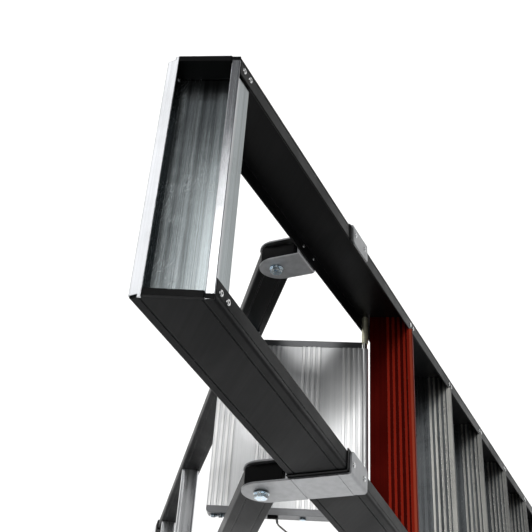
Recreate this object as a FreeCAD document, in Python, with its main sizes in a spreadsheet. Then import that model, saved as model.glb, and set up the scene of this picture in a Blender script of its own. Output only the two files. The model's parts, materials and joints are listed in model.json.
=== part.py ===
import FreeCAD, Part
import math
import os

Vector = FreeCAD.Vector

# ---------------------------------------------------------------------------------------
# A single-sided step ladder with a guard rail, a tool tray at its top, a folding platform
# and a rear support frame.
# Axes: X across the ladder, Y from the climbing side to the rear, Z up from the floor.
# The origin lies on the floor, in the middle of the ladder's footprint.
# "Left" is the -X side. Lengths are in millimetres, angles in degrees.
# ---------------------------------------------------------------------------------------

SIZES = {
    # the whole ladder
    "platform_height": 1620.0,
    "guard_height": 671.0,          # from the platform up to the top of the stiles
    "top_width": 340.0,             # over the two stiles at their top
    "front_lean": 20.66,            # stiles, from the vertical
    "rear_lean": 14.2,              # rear legs, from the vertical
    "splay": 3.833,                 # each side spreads this much outwards going down
    "fit_gap": 0.1,                 # between pieces of one body that lie against each other
    "free_gap": 0.5,                # between pieces that move past each other
    "seat_gap": 0.3,                # between a moving piece and what it rests on
    # stile, a channel with its web outwards
    "stile_depth": 85.0,
    "stile_flange": 26.0,
    "stile_wall": 2.5,
    "corner_radius": 3.0,
    "groove_width": 2.2,
    "groove_depth": 0.9,
    "groove_inset": 12.2,
    "flange_groove_inset": 6.0,
    # treads
    "tread_nose": 5.5,              # how far the nose stands in front of the stiles
    "nose_height": 7.0,
    "tread_wall": 2.0,
    "tread_skirt": 33.0,
    "rib_height": 1.2,
    "rib_pitch": 9.5,
    "rib_width": 4.8,
    "nose_strip": 10.5,             # plain strip in front of the ribs
    "top_tread_reach": 66.4,        # rear edge of the top tread, square to the stile
    "screw_port_radius": 4.2,
    # rivets and screws
    "rivet_radius": 2.4,
    "rivet_head_radius": 3.9,
    "rivet_head_height": 1.4,
    "rivet_bore": 1.6,
    "rivet_tail_radius": 3.0,
    "rivet_tail_height": 1.3,
    "rivet_inset": 14.2,            # from the outside of the web
    "tread_rivet_drop": 9.0,        # first rivet below the tread's top
    "tread_rivet_pitch": 17.0,
    "tray_rivet_drop": 12.0,
    "tray_rivet_pitch": 16.6,
    "tray_rear_rivet_drop": 8.2,    # below the rear lip
    "tray_rear_rivet_pitch": 13.6,
    "bracket_rivet_pitch": 43.0,
    "bracket_rivet_inset": 11.7,
    # tool tray
    "tray_depth": 34.0,
    "tray_wall": 2.0,
    "front_lip": 10.3,
    "rear_lip": 14.5,
    "rear_lip_fall": 6.3,
    "ridge_height": 1.2,
    "ridge_width": 2.4,
    "ridge_offset": 19.5,
    "tray_end_thickness": 5.5,
    "tray_end_rise": 1.5,
    "tray_rim": 5.8,                # the ends' rims take this much of the front lip's length
    # pivot of the rear frame
    "pivot_drop": 430.5,            # along the stile from its top
    "pivot_behind": 51.8,           # behind the stile's rear face
    "bracket_thickness": 2.6,
    "bracket_height": 65.0,
    "bracket_sink": 2.0,            # the brackets' middle below the pivot
    "bracket_tab": 29.5,
    "bracket_corner": 6.0,
    "bracket_bend": 4.5,
    "ear_behind": 80.5,             # the ears end behind the stile's rear face
    "press_width": 4.8,
    "press_depth": 0.4,
    "press_inset": 12.2,            # of the pressed band near the front, from the stile's front
    "press_rear_inset": 6.1,
    "liner_thickness": 1.4,
    "liner_rise": 8.0,              # the liner stands this much above the bracket
    "bolt_radius": 5.0,
    "bolt_head_across": 17.0,
    "bolt_head_height": 6.0,
    "washer_radius": 11.0,
    "washer_thickness": 1.6,
    "running_gap": 0.08,
    "sleeve_radius": 7.0,
    # rear legs
    "leg_depth": 53.0,
    "leg_width": 24.0,
    "leg_wall": 2.0,
    "leg_side_gap": 1.6,
    "leg_top_drop": 8.3,            # leg top below the bracket's top edge
    "leg_top_clearance": 13.5,      # from the stile's rear face to the leg's cut corner
    "plug_depth": 12.0,
    "plug_flange": 2.5,
    "brace_depth": 44.0,
    "brace_thickness": 25.0,
    "brace_wall": 2.0,
    "upper_brace_drop": 1156.0,     # along the leg from the pivot
    "lower_brace_rise": 149.5,      # along the leg from the floor
    "screw_radius": 3.0,
    "screw_head_radius": 5.2,
    "screw_head_height": 3.2,
    # feet
    "shoe_wall": 4.0,
    "shoe_height": 58.0,
    "sole_thickness": 6.0,
    # platform
    "axle_radius": 4.0,
    "barrel_radius": 5.8,
    "barrel_merge": 0.8,            # how far the front plank reaches into its hinge barrel
    "axle_offset": 75.8,            # axle behind the stile's front face
    "axle_sink": 5.5,               # axle below the platform's top
    "axle_head_radius": 8.0,
    "axle_head_height": 4.5,
    "platform_half_width": 160.0,
    "platform_rail": 11.5,
    "rail_height": 22.0,
    "rail_wall": 2.2,
    "rail_end_radius": 3.0,
    "rail_corner_radius": 7.0,      # seen from above, at the outer rear corner
    "plank_height": 18.0,
    "plank_wall": 2.0,
    "rib_zone": 36.0,
    "plain_zone": 35.5,
    "plank_rib_height": 1.0,
    "pin_radius": 5.0,
    "pin_head_radius": 8.0,
    "pin_head_height": 3.0,
    "pin_reach": 14.0,              # beyond the platform's rail
    "pin_inset": 51.0,              # from the platform's rear edge
    "pin_sink": 13.0,               # below the platform's top
    "rest_thickness": 3.5,
    "rest_width": 24.0,
    "rest_overlap": 6.5,            # how far the rest reaches under the pin
    "rest_plate_height": 46.0,
    "rest_rivet_pitch": 20.0,
    "rail_screw_inset": 11.6,
    "rail_screw_sink": 12.5,
    "rail_screw_pitch": 11.5,
    "rail_screw_forward": 94.0,
    # cord
    "cord_radius": 1.5,
    "clip_position": 147.1,         # clip behind the platform's axle
    "clip_sink": 2.0,               # clip's top below the platform's top
    "clip_height": 5.0,
    "clip_width": 17.0,
    "clip_thickness": 5.0,
    "clip_tail_radius": 2.0,
    "clip_tail_length": 22.0,
    "clip_tail_forward": 6.4,       # the cord's tail in front of the clip's middle
    "anchor_drop": 165.0,           # anchor below the axle, along the stile
    "anchor_depth": 60.0,
    "anchor_size": 12.0,
    "anchor_thickness": 6.0,
}

TREAD_COUNT = 6
RIB_COUNT = 4
PLANK_COUNT = 4
SIDES = {"left": -1, "right": 1}

doc = FreeCAD.newDocument("StepLadder")
sheet = doc.addObject("Spreadsheet::Sheet", "Sizes")
for row, (alias, number) in enumerate(SIZES.items(), start=1):
    sheet.set(f"A{row}", alias.replace("_", " "))
    sheet.set(f"B{row}", str(number))
    sheet.setAlias(f"B{row}", alias)
doc.recompute()


def size(alias):
    """The number that the sheet holds under an alias."""
    return float(sheet.get(alias))


# ---------------------------------------------------------------------------------------
# Where things are: the leaning, splayed stiles and rear legs
# ---------------------------------------------------------------------------------------

FRONT_SIN = math.sin(math.radians(size("front_lean")))
FRONT_COS = math.cos(math.radians(size("front_lean")))
REAR_SIN = math.sin(math.radians(size("rear_lean")))
REAR_COS = math.cos(math.radians(size("rear_lean")))
SPREAD = math.tan(math.radians(size("splay")))
SKEW = math.hypot(1, SPREAD)     # along X, for one unit square to a web

TOP_Z = size("platform_height") + size("guard_height")
PLATFORM_Z = size("platform_height")
TREAD_PITCH = size("platform_height") / TREAD_COUNT
CUT_Z = TOP_Z - size("tray_wall") - 2 * size("fit_gap")   # the stiles end under the tray's lip

# the pivot axis of the rear frame, before the ladder is centred over the origin
PIVOT_DEPTH = size("stile_depth") + size("pivot_behind")
pivot_y_from_top = -FRONT_SIN * size("pivot_drop") + FRONT_COS * PIVOT_DEPTH
PIVOT_Z = TOP_Z - FRONT_COS * size("pivot_drop") - FRONT_SIN * PIVOT_DEPTH

# the footprint runs from the front of the front shoes to the rear of the rear shoes
front_reach = -(size("shoe_wall") + FRONT_SIN * TOP_Z) / FRONT_COS
rear_reach = (pivot_y_from_top + REAR_SIN / REAR_COS * PIVOT_Z
              + (size("leg_depth") / 2 + size("shoe_wall")) / REAR_COS)
TOP_Y = -(front_reach + rear_reach) / 2
PIVOT_Y = TOP_Y + pivot_y_from_top


def stile_point(side, drop, depth, inset=0.0):
    """A point of a stile: along it from its top, rearwards, and square to its web."""
    across = size("top_width") / 2 + SPREAD * drop - SKEW * inset
    return Vector(side * across,
                  TOP_Y - FRONT_SIN * drop + FRONT_COS * depth,
                  TOP_Z - FRONT_COS * drop - FRONT_SIN * depth)


def leg_point(side, drop, depth, inset=0.0):
    """A point of a rear leg: along it from the pivot, rearwards, and square to its side."""
    across = (size("top_width") / 2 + SPREAD * size("pivot_drop") - size("leg_side_gap")
              + SPREAD * drop - SKEW * inset)
    return Vector(side * across,
                  PIVOT_Y + REAR_SIN * drop + REAR_COS * depth,
                  PIVOT_Z - REAR_COS * drop + REAR_SIN * depth)


def axes_placement(origin, x_axis, y_axis, z_axis):
    rotation = FreeCAD.Rotation(x_axis, y_axis, z_axis, "ZXY")
    return FreeCAD.Placement(origin, rotation)


def channel_frame(point, side, drop):
    """Local X inwards, Y rearwards, Z along the member (down on the right, up on the left)."""
    origin = point(side, drop, 0)
    rearwards = (point(side, drop, 1) - origin).normalize()
    downwards = (point(side, drop + 1, 0) - origin).normalize()
    along = downwards * side
    return axes_placement(origin, rearwards.cross(along), rearwards, along)


def stile_frame(side, drop):
    return channel_frame(stile_point, side, drop)


def leg_frame(side, drop):
    return channel_frame(leg_point, side, drop)


def span_start(side, upper, lower):
    """The end from which a member is extruded, as its local Z differs on each side."""
    return upper if side > 0 else lower


def front_plane_y(depth, z):
    """Y of the plane that lies a depth behind the stiles' front faces, at a height."""
    return TOP_Y + (depth + FRONT_SIN * (z - TOP_Z)) / FRONT_COS


def stile_drop(depth, z):
    """Distance along a stile, at a depth, for a height."""
    return (TOP_Z - z - FRONT_SIN * depth) / FRONT_COS


# ---------------------------------------------------------------------------------------
# Building blocks
# ---------------------------------------------------------------------------------------

PLANES = {"XY": "XY_Plane", "XZ": "XZ_Plane", "YZ": "YZ_Plane"}


def rounded_outline(corners):
    """Edges of a closed outline; each corner is (x, y) or (x, y, radius)."""
    points = [Vector(c[0], c[1], 0) for c in corners]
    radii = [c[2] if len(c) > 2 else 0.0 for c in corners]
    starts, ends, arcs = [], [], []
    for i, corner in enumerate(points):
        to_last = (points[i - 1] - corner).normalize()
        to_next = (points[(i + 1) % len(points)] - corner).normalize()
        if radii[i] == 0:
            starts.append(corner)
            ends.append(corner)
            arcs.append(None)
            continue
        half = to_last.getAngle(to_next) / 2
        reach = radii[i] / math.tan(half)
        enter, leave = corner + to_last * reach, corner + to_next * reach
        inward = (to_last + to_next).normalize()
        middle = corner + inward * (radii[i] / math.sin(half) - radii[i])
        starts.append(enter)
        ends.append(leave)
        arcs.append(Part.Arc(enter, middle, leave))
    edges = []
    for i in range(len(points)):
        if arcs[i]:
            edges.append(arcs[i])
        following = (i + 1) % len(points)
        if ends[i].distanceToPoint(starts[following]) > 1e-6:
            edges.append(Part.LineSegment(ends[i], starts[following]))
    return edges


def add_sketch(body, name, plane, edges):
    sketch = body.newObject("Sketcher::SketchObject", name)
    origin_plane = [f for f in body.Origin.OriginFeatures if f.Role == PLANES[plane]][0]
    sketch.AttachmentSupport = [(origin_plane, "")]
    sketch.MapMode = "FlatFace"
    sketch.addGeometry(edges, False)
    return sketch


def padded_body(label, plane, edges, length, placement=None, centred=False):
    """A body padded from one sketch; length is an expression or a number."""
    body = doc.addObject("PartDesign::Body", label)
    body.Label = label
    sketch = add_sketch(body, label + "_outline", plane, edges)
    pad = body.newObject("PartDesign::Pad", label + "_pad")
    pad.Profile = sketch
    if isinstance(length, str):
        pad.setExpression("Length", length)
    else:
        pad.Length = length
    if centred:
        pad.SideType = "Symmetric"
    if placement:
        body.Placement = placement
    return body


def box(label, lengths, placement):
    """A Part box; each length is an expression or a number."""
    item = doc.addObject("Part::Box", label)
    for edge, length in zip(("Length", "Width", "Height"), lengths):
        if isinstance(length, str):
            item.setExpression(edge, length)
        else:
            setattr(item, edge, length)
    item.Placement = placement
    return item


def cylinder(label, radius, height, start, direction):
    item = doc.addObject("Part::Cylinder", label)
    for field, amount in (("Radius", radius), ("Height", height)):
        if isinstance(amount, str):
            item.setExpression(field, amount)
        else:
            setattr(item, field, amount)
    item.Placement = FreeCAD.Placement(start, FreeCAD.Rotation(Vector(0, 0, 1), direction))
    return item


def boolean(kind, label, base, tool):
    item = doc.addObject("Part::" + kind, label)
    item.Label = label
    item.Base = base
    item.Tool = tool
    item.Refine = True
    return item


def gathered(label, items):
    item = doc.addObject("Part::Compound", label)
    item.Links = items
    return item


def drilled(label, base, drills):
    return boolean("Cut", label, base, gathered(label + "_drills", drills))


def group_node(label, shapes):
    """One node that holds several separate solids of one kind."""
    item = doc.addObject("Part::Feature", label)
    item.Label = label
    item.Shape = Part.makeCompound(shapes)
    return item


NODES = []


def node(item, label=None):
    """Marks an object as a sub-part and gives it its file's name."""
    if label:
        item.Label = label
    NODES.append(item)
    return item


# ---------------------------------------------------------------------------------------
# Rivets, screws and their holes
# ---------------------------------------------------------------------------------------

def rivet_body(label, grip):
    """A hollow rivet along Z: its head stands above z = 0, its shank goes down the grip."""
    body = doc.addObject("PartDesign::Body", label)
    head, rise = size("rivet_head_radius"), size("rivet_head_height")
    tail, drop = size("rivet_tail_radius"), size("rivet_tail_height")
    shank, bore = size("rivet_radius"), size("rivet_bore")
    edges = rounded_outline([
        (bore, rise), (head, rise, rise * 0.9), (head, 0), (shank, 0), (shank, -grip),
        (tail, -grip), (tail, -grip - drop, drop * 0.6), (bore, -grip - drop)])
    sketch = add_sketch(body, label + "_outline", "XZ", edges)
    turn = body.newObject("PartDesign::Revolution", label + "_turn")
    turn.Profile = sketch
    turn.ReferenceAxis = (sketch, ["V_Axis"])
    turn.Angle = 360
    return body


def placed_copies(body, seats):
    """Copies of a body's shape, each with its local Z along an outward direction."""
    copies = []
    for seat, outward in seats:
        copy = body.Shape.copy()
        copy.Placement = FreeCAD.Placement(seat, FreeCAD.Rotation(Vector(0, 0, 1), outward))
        copies.append(copy)
    return copies


def rivet_drills(label, seats, grip):
    """Holes for rivets, a fit gap wider than their shanks, through everything gripped."""
    drills = []
    overrun = 1.0
    for i, (seat, outward) in enumerate(seats):
        drills.append(cylinder(f"{label}_{i + 1}", "Sizes.rivet_radius + Sizes.fit_gap",
                               grip + 2 * overrun, seat + outward * overrun, outward * -1))
    return drills


STILE_REAR = Vector(0, FRONT_COS, -FRONT_SIN)      # outward from the stiles' rear faces
STILE_FRONT = STILE_REAR * -1


def flange_seats(side, drops, depth, outward, inset="rivet_inset"):
    return [(stile_point(side, drop, depth, size(inset)), outward) for drop in drops]


# ---------------------------------------------------------------------------------------
# Trimming solids
# ---------------------------------------------------------------------------------------

REACH = 2 * (size("platform_height") + size("guard_height"))   # longer than any member
UNMOVED = FreeCAD.Placement()

lip_y = TOP_Y + (size("stile_depth") + FRONT_SIN * -size("rear_lip_fall")) / FRONT_COS
lip_slope = size("rear_lip_fall") / size("rear_lip")
lip_start_y = lip_y - size("rear_lip")
far_y = lip_y + 4 * size("stile_depth")


def standing_slab(label, floor_z):
    """All that lies between a level above the floor and the stiles' top cut."""
    edges = rounded_outline([
        (-REACH, floor_z), (REACH, floor_z), (REACH, CUT_Z - lip_slope * (far_y - lip_start_y)),
        (far_y, CUT_Z - lip_slope * (far_y - lip_start_y)), (lip_start_y, CUT_Z),
        (-REACH, CUT_Z)])
    return padded_body(label, "YZ", edges, REACH, UNMOVED, centred=True)


member_slab = standing_slab("member_slab", size("sole_thickness"))
shoe_slab = standing_slab("shoe_slab", 0.0)

# the room that each stile takes, which keeps treads and tray out of its web and front flange
keepouts = []
for name, side in SIDES.items():
    start = span_start(side, -size("stile_depth"), REACH)
    frame = stile_frame(side, start)
    web = size("stile_wall") + size("fit_gap")
    flange = size("stile_flange") + size("free_gap")
    outline = rounded_outline([
        (-size("stile_flange"), -size("stile_depth")), (flange, -size("stile_depth")),
        (flange, web), (web, web), (web, 2 * size("stile_depth")),
        (-size("stile_flange"), 2 * size("stile_depth"))])
    keepouts.append(padded_body(f"keepout_{name}", "XY", outline,
                                REACH + size("stile_depth"), frame))
stile_room = gathered("stile_room", keepouts)


# ---------------------------------------------------------------------------------------
# Where the fasteners sit
# ---------------------------------------------------------------------------------------

def tread_top(index):
    return PLATFORM_Z - index * TREAD_PITCH


skirt_grip = size("stile_wall") + size("tread_wall") + size("fit_gap")
tray_grip = size("stile_wall") + size("tray_wall") + size("fit_gap")
base_grip = size("stile_wall") + size("bracket_thickness") + size("fit_gap")
tab_grip = base_grip + size("liner_thickness") + size("fit_gap")


def tread_drops(index, depth):
    first = stile_drop(depth, tread_top(index)) + size("tread_rivet_drop")
    return [first, first + size("tread_rivet_pitch")]


front_tray_drops = [size("tray_rivet_drop"), size("tray_rivet_drop") + size("tray_rivet_pitch")]
first_rear_drop = (stile_drop(size("stile_depth"), TOP_Z - size("rear_lip_fall"))
                   + size("tray_rear_rivet_drop"))
rear_tray_drops = [first_rear_drop, first_rear_drop + size("tray_rear_rivet_pitch")]


BRACKET_MIDDLE = size("pivot_drop") + size("bracket_sink")
BRACKET_TOP = BRACKET_MIDDLE - size("bracket_height") / 2
LINER = size("liner_thickness") + 2 * size("fit_gap")      # room between stile and outer plate
bracket_drops = [size("pivot_drop") + half * size("bracket_rivet_pitch") / 2 for half in (-1, 1)]

tread_seats, tray_seats, tab_seats, base_seats = [], [], [], []
side_seats = {name: {"tread": [], "tray": [], "tab": [], "base": []} for name in SIDES}
for name, side in SIDES.items():
    for index in range(TREAD_COUNT):
        seats = flange_seats(side, tread_drops(index, 0), 0, STILE_FRONT)
        if index > 0:
            depth = size("stile_depth")
            seats += flange_seats(side, tread_drops(index, depth), depth, STILE_REAR)
        side_seats[name]["tread"] += seats
        tread_seats += seats
    seats = flange_seats(side, front_tray_drops, 0, STILE_FRONT)
    seats += flange_seats(side, rear_tray_drops, size("stile_depth"), STILE_REAR)
    side_seats[name]["tray"] = seats
    tray_seats += seats
    front = -size("bracket_thickness") - LINER
    rear = size("stile_depth") + size("bracket_thickness") + size("fit_gap")
    side_seats[name]["tab"] = flange_seats(side, bracket_drops, front, STILE_FRONT,
                                           "bracket_rivet_inset")
    side_seats[name]["base"] = flange_seats(side, bracket_drops, rear, STILE_REAR,
                                            "bracket_rivet_inset")
    tab_seats += side_seats[name]["tab"]
    base_seats += side_seats[name]["base"]

AXLE_Z = PLATFORM_Z - size("axle_sink")
AXLE_Y = front_plane_y(size("axle_offset"), AXLE_Z)
AXLE_DROP = stile_drop(size("axle_offset"), AXLE_Z)
AXLE_X = stile_point(1, AXLE_DROP, size("axle_offset")).x   # outside of the web at the axle

PLANK_LENGTH = 2 * (size("platform_half_width") - size("platform_rail") - size("fit_gap"))
DECK_FRONT = AXLE_Y + size("barrel_radius") - size("barrel_merge")
PLANK_MODULE = size("rib_zone") + size("plain_zone")
DECK_REAR = DECK_FRONT + (PLANK_COUNT - 1) * PLANK_MODULE + size("rib_zone")

PORT_Z = PLATFORM_Z - size("rib_height") - size("tread_wall") / 2 - size("screw_port_radius")
PORT_Y = front_plane_y(size("top_tread_reach") - 3 * size("screw_port_radius"), PORT_Z)
PORT_DEPTH = (PORT_Y - TOP_Y) * FRONT_COS - (PORT_Z - TOP_Z) * FRONT_SIN
PORT_X = stile_point(1, stile_drop(PORT_DEPTH, PORT_Z), PORT_DEPTH).x


# ---------------------------------------------------------------------------------------
# Front frame
# ---------------------------------------------------------------------------------------

def stile_outline():
    depth, flange, wall = size("stile_depth"), size("stile_flange"), size("stile_wall")
    groove, cut = size("groove_depth"), size("groove_width")
    inset, corner = size("flange_groove_inset"), size("corner_radius")
    soft = groove / 2
    corners = [(0, 0, corner), (inset, 0), (inset, groove / 2), (inset + cut, groove / 2),
               (inset + cut, 0), (flange, 0, wall * 0.4), (flange, wall, wall * 0.4),
               (wall, wall)]
    mirrored = [(c[0], depth - c[1], *c[2:]) for c in reversed(corners)]
    web = []
    for middle in (depth - size("groove_inset"), size("groove_inset")):
        web += [(0, middle + cut / 2, soft), (groove, middle + cut / 2),
                (groove, middle - cut / 2), (0, middle - cut / 2, soft)]
    return rounded_outline(corners + mirrored + web)


def make_stile(name, side):
    label = f"stile_{name}"
    start = span_start(side, -size("stile_depth"), REACH / 2 / FRONT_COS + size("stile_depth"))
    length = REACH / 2 / FRONT_COS + 2 * size("stile_depth")
    bar = padded_body(label + "_bar", "XY", stile_outline(), length, stile_frame(side, start))
    cut = boolean("Common", label + "_cut", bar, member_slab)
    seats = side_seats[name]
    drills = rivet_drills(f"{label}_tread_hole", seats["tread"], skirt_grip)
    drills += rivet_drills(f"{label}_tray_hole", seats["tray"], tray_grip)
    drills += rivet_drills(f"{label}_tab_hole", seats["tab"], tab_grip)
    drills += rivet_drills(f"{label}_base_hole", seats["base"], base_grip)
    wide = 4 * size("stile_wall")
    for hole, x, y, z in (("axle", AXLE_X, AXLE_Y, AXLE_Z), ("screw", PORT_X, PORT_Y, PORT_Z)):
        drills.append(cylinder(f"{label}_{hole}_hole", f"Sizes.{hole}_radius + Sizes.free_gap",
                               2 * wide, Vector(side * (x + wide), y, z), Vector(-side, 0, 0)))
    node(drilled(label, cut, drills))


def tread_outline(rear_depth):
    """Side view of a tread; its origin is its top edge in the plane of the stiles' fronts."""
    wall, rib = size("tread_wall"), size("rib_height")
    skirt, nose = size("tread_skirt"), size("tread_nose")
    inside = size("stile_wall") + size("fit_gap")

    def plane_y(depth, z):
        return (depth + FRONT_SIN * z) / FRONT_COS

    under = -rib - wall
    deck = [(plane_y(rear_depth, -rib), -rib)]
    first_rib = -nose + size("nose_strip")
    for i in reversed(range(RIB_COUNT)):
        middle = first_rib + size("rib_pitch") * (i + 0.5)
        half = size("rib_width") / 2
        deck += [(middle + half, -rib), (middle + half, 0, rib * 0.4),
                 (middle - half, 0, rib * 0.4), (middle - half, -rib)]
    deck += [(first_rib, -rib), (first_rib, 0)]
    front = [(-nose, 0, wall), (-nose, -size("nose_height"), wall / 2),
             (plane_y(inside, -size("nose_height")), -size("nose_height")),
             (plane_y(inside, -skirt), -skirt), (plane_y(inside + 2 * wall, -skirt), -skirt),
             (plane_y(inside + 2 * wall, -skirt + wall), -skirt + wall),
             (plane_y(inside + wall, -skirt + wall), -skirt + wall),
             (plane_y(inside + wall, under), under)]
    rear = [(plane_y(rear_depth - wall, under), under),
            (plane_y(rear_depth - wall, -skirt + wall), -skirt + wall),
            (plane_y(rear_depth - 2 * wall, -skirt + wall), -skirt + wall),
            (plane_y(rear_depth - 2 * wall, -skirt), -skirt),
            (plane_y(rear_depth, -skirt), -skirt)]
    return rounded_outline(deck + front + rear)


def make_tread(index):
    label = "top_tread" if index == 0 else f"tread_{index + 1}"
    top = tread_top(index)
    rear_depth = size("stile_depth") - size("stile_wall") - size("fit_gap")
    if index == 0:
        rear_depth = size("top_tread_reach")
    width = size("top_width") + 2 * SPREAD * stile_drop(0, top - size("tread_skirt"))
    place = FreeCAD.Placement(Vector(0, front_plane_y(0, top), top), FreeCAD.Rotation())
    plank = padded_body(label + "_plank", "YZ", tread_outline(rear_depth), width,
                        place, centred=True)
    if index == 0:
        port = cylinder(label + "_port", "Sizes.screw_port_radius", width,
                        Vector(-width / 2, PORT_Y, PORT_Z), Vector(1, 0, 0))
        plank = boolean("Fuse", label + "_ported", plank, port)
    trimmed = boolean("Cut", label + "_trimmed", plank, stile_room)
    drills = []
    for name, side in SIDES.items():
        seats = flange_seats(side, tread_drops(index, 0), 0, STILE_FRONT)
        if index > 0:
            depth = size("stile_depth")
            seats += flange_seats(side, tread_drops(index, depth), depth, STILE_REAR)
        drills += rivet_drills(f"{label}_{name}_hole", seats, skirt_grip)
    if index == 0:
        drills.append(cylinder(label + "_port_hole", "Sizes.screw_radius + Sizes.running_gap",
                               width, Vector(-width / 2, PORT_Y, PORT_Z), Vector(1, 0, 0)))
    node(drilled(label, trimmed, drills))


def tray_outline():
    """Side view of the tray, in the ladder's own Y and Z."""
    wall, depth = size("tray_wall"), size("tray_depth")
    front = size("stile_wall") + size("fit_gap")
    rear = size("stile_depth") - size("stile_wall") - size("fit_gap")
    floor = TOP_Z - depth
    over = TOP_Z - wall
    front_edge = front_plane_y(0, TOP_Z)
    middle = (front_plane_y(front, floor) + front_plane_y(rear, floor)) / 2
    ridges = []
    for offset in (-size("ridge_offset"), size("ridge_offset")):
        at, half, high = middle + offset, size("ridge_width") / 2, floor + wall
        ridges += [(at - half, high), (at - half, high + size("ridge_height")),
                   (at + half, high + size("ridge_height")), (at + half, high)]
    tail = lip_y - wall * 0.3

    def lip_under(y):
        return over - lip_slope * (y - lip_start_y)

    def wall_meets_lip(depth):
        """Where a plane parallel to the stiles' rear faces meets the lip's underside."""
        level = over - TOP_Z + lip_slope * (lip_start_y - TOP_Y)
        y = TOP_Y + (depth + FRONT_SIN * level) / (FRONT_COS + FRONT_SIN * lip_slope)
        return (y, lip_under(y))

    corners = [
        (front_edge, TOP_Z, wall * 0.6), (front_edge, over), (front_plane_y(front, over), over),
        (front_plane_y(front, floor), floor, wall), (front_plane_y(rear, floor), floor, wall),
        wall_meets_lip(rear), (tail, lip_under(tail)),
        (lip_y, TOP_Z - size("rear_lip_fall"), wall * 0.6),
        (lip_start_y, TOP_Z, wall * 0.4), (lip_start_y, over), wall_meets_lip(rear - wall),
        (front_plane_y(rear - wall, floor + wall), floor + wall)]
    corners += list(reversed(ridges))
    corners += [(front_plane_y(front + wall, floor + wall), floor + wall),
                (front_plane_y(front + wall, over), over),
                (front_edge + size("front_lip"), over),
                (front_edge + size("front_lip"), TOP_Z, wall * 0.4)]
    return rounded_outline(corners)


# the room of the stiles below their top cut: the tray's lips and ends run over the cut
BELOW = 2 * size("stile_depth")
below_cut = box("below_cut", (REACH, REACH, BELOW),
                FreeCAD.Placement(Vector(-REACH / 2, -REACH / 2,
                                         CUT_Z + size("fit_gap") - BELOW), FreeCAD.Rotation()))
tray_room = boolean("Common", "tray_room", stile_room, below_cut)


RIM_REAR = front_plane_y(0, TOP_Z) + size("front_lip") + size("tray_wall")


def rim_body(label, side, width, bottom):
    """The room over a stile's cut edge, as wide as the rim of the tray's end plate."""
    front = front_plane_y(0, TOP_Z)
    outline = rounded_outline([(front, bottom), (RIM_REAR, bottom), (RIM_REAR, TOP_Z),
                               (front, TOP_Z)])
    bar = padded_body(label + "_bar", "YZ", outline, size("top_width") + 2 * BELOW, UNMOVED,
                      centred=True)
    slab = rounded_outline([(0, -BELOW), (width, -BELOW), (width, BELOW), (0, BELOW)])
    start = span_start(side, -BELOW, BELOW)
    trim = padded_body(label + "_trim", "XY", slab, 2 * BELOW, stile_frame(side, start))
    return boolean("Common", label, bar, trim)


def make_tray():
    width = size("top_width") - 2 * size("fit_gap")
    shell = padded_body("tool_tray_shell", "YZ", tray_outline(), width, UNMOVED, centred=True)
    rims = [rim_body(f"rim_room_{name}", side, size("tray_rim") + size("fit_gap"), CUT_Z)
            for name, side in SIDES.items()]
    shortened = boolean("Cut", "tool_tray_shortened", shell, gathered("rim_rooms", rims))
    trimmed = boolean("Cut", "tool_tray_trimmed", shortened, tray_room)
    node(drilled("tool_tray", trimmed, rivet_drills("tool_tray_hole", tray_seats, tray_grip)))


def make_tray_end(name, side):
    """A black plate that closes the trough, with a rim over the web's cut edge."""
    label = f"tray_end_{name}"
    gap, wall = size("fit_gap"), size("tray_wall")
    floor = TOP_Z - size("tray_depth") + wall + size("ridge_height") + gap
    high = TOP_Z + size("tray_end_rise")
    front = size("stile_wall") + 2 * gap + wall
    rear = size("stile_depth") - front
    low_rear_z = TOP_Z - size("rear_lip_fall") - 2 * wall
    lip_edge = front_plane_y(0, TOP_Z) + size("front_lip") + gap
    outline = rounded_outline([
        (front_plane_y(front, floor), floor), (front_plane_y(rear, floor), floor),
        (front_plane_y(rear, low_rear_z), low_rear_z),
        (lip_start_y - gap, low_rear_z), (lip_start_y - gap, high, wall / 2),
        (lip_edge, high, wall / 2), (lip_edge, TOP_Z - 2 * wall),
        (front_plane_y(front, TOP_Z - 2 * wall), TOP_Z - 2 * wall)])
    block = padded_body(label + "_block", "YZ", outline, size("top_width") + 2 * BELOW, UNMOVED,
                        centred=True)
    thickness = size("stile_wall") + gap + size("tray_end_thickness")
    slab = rounded_outline([(0, -BELOW), (thickness, -BELOW), (thickness, BELOW), (0, BELOW)])
    start = span_start(side, -BELOW, BELOW)
    sliver = padded_body(label + "_slab", "XY", slab, 2 * BELOW, stile_frame(side, start))
    plate = boolean("Common", label + "_plate", block, sliver)
    rim = rim_body(label + "_rim", side, size("tray_rim"), CUT_Z + gap)
    rimmed = boolean("Fuse", label + "_rimmed", plate, rim)
    node(boolean("Cut", label, rimmed, tray_room))


# ---------------------------------------------------------------------------------------
# Pivot brackets
# ---------------------------------------------------------------------------------------

def ear_outline():
    """Side view of a bracket: square at the front, fully round at the rear."""
    half = size("bracket_height") / 2
    middle = size("stile_depth") + size("ear_behind") - half
    front = -size("stile_depth")
    low, high = Vector(front, -half, 0), Vector(front, half, 0)
    tip = Vector(middle + half, 0, 0)
    low_turn, high_turn = Vector(middle, -half, 0), Vector(middle, half, 0)
    return [Part.LineSegment(low, low_turn), Part.Arc(low_turn, tip, high_turn),
            Part.LineSegment(high_turn, high), Part.LineSegment(high, low)]


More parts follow.
